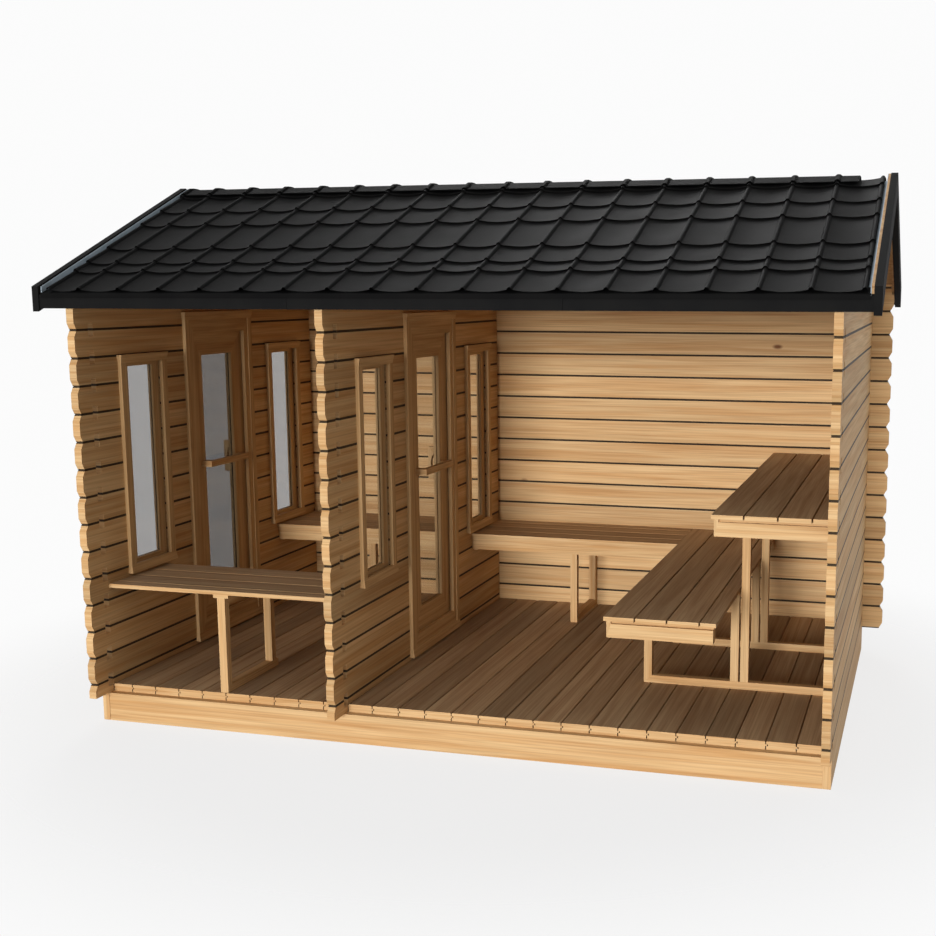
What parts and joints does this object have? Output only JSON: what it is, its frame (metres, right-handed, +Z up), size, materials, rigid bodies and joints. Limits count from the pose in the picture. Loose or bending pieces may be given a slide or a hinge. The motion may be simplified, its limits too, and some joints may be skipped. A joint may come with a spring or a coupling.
{
  "type": "sauna cabin",
  "caption": "Log sauna cabin with a pitched metal roof, a dressing room and a sauna room with slatted benches, glazed doors and windows, shown open along its front long side.",
  "frame": {"origin": "centre of the bounding box at the level of the underside of the base frame", "axes": "+X along the cabin to the right, from the dressing room to the sauna room; +Y to the back wall; +Z up; the open long side faces -Y"},
  "size_m": [4.09, 2.746, 2.82],
  "materials": {
    "pine": "planed, untreated",
    "floor_wood": "planed",
    "bench_wood": "planed",
    "joinery": "planed",
    "roofing": "matt black",
    "black_boards": "painted matt black",
    "underlay": "matt",
    "steel": "brushed",
    "glass": "clear"
  },
  "bodies": {
    "cabin": {"floor_frame": "pine", "floor_dressing": "floor_wood", "floor_sauna": "floor_wood", "left_wall_front": "pine", "left_wall_back": "pine", "left_wall_top": "pine", "partition_front": "pine", "partition_back": "pine", "partition_top": "pine", "right_wall": "pine", "back_wall": "pine", "outer_door_frame": "joinery", "outer_door_casings": "joinery", "outer_door_pins": "steel", "sauna_door_frame": "joinery", "sauna_door_casings": "joinery", "sauna_door_pins": "steel", "window_frames": "joinery", "window_glass": "glass", "window_casings": "joinery", "dressing_front_bench_top": "bench_wood", "dressing_front_bench_frame": "pine", "dressing_back_bench_top": "bench_wood", "dressing_back_bench_frame": "pine", "sauna_back_bench_top": "bench_wood", "sauna_back_bench_frame": "pine", "sauna_lower_bench_top": "bench_wood", "sauna_upper_bench_top": "bench_wood", "sauna_side_bench_frames": "pine", "roof_deck": "pine", "roof_underlay": "underlay", "roof_sheet_front": "roofing", "roof_sheet_back": "roofing", "ridge_cap": "roofing", "fascia_boards": "black_boards", "barge_boards": "black_boards", "barge_linings": "pine"},
    "outer_door": {"outer_door_leaf": "joinery", "outer_door_glass": "glass", "outer_door_handles": "joinery", "outer_door_hinges": "steel"},
    "sauna_door": {"sauna_door_leaf": "joinery", "sauna_door_glass": "glass", "sauna_door_handles": "joinery", "sauna_door_hinges": "steel"}
  },
  "joints": [
    {"name": "outer_door_hinge", "type": "hinge", "parent": "cabin", "child": "outer_door", "pos_m": [-1.908, -0.292, 1.15], "axis": [0, 0, 1], "range_deg": [0, 100]},
    {"name": "sauna_door_hinge", "type": "hinge", "parent": "cabin", "child": "sauna_door", "pos_m": [-0.566, -0.292, 1.15], "axis": [0, 0, 1], "range_deg": [0, 100]}
  ]
}
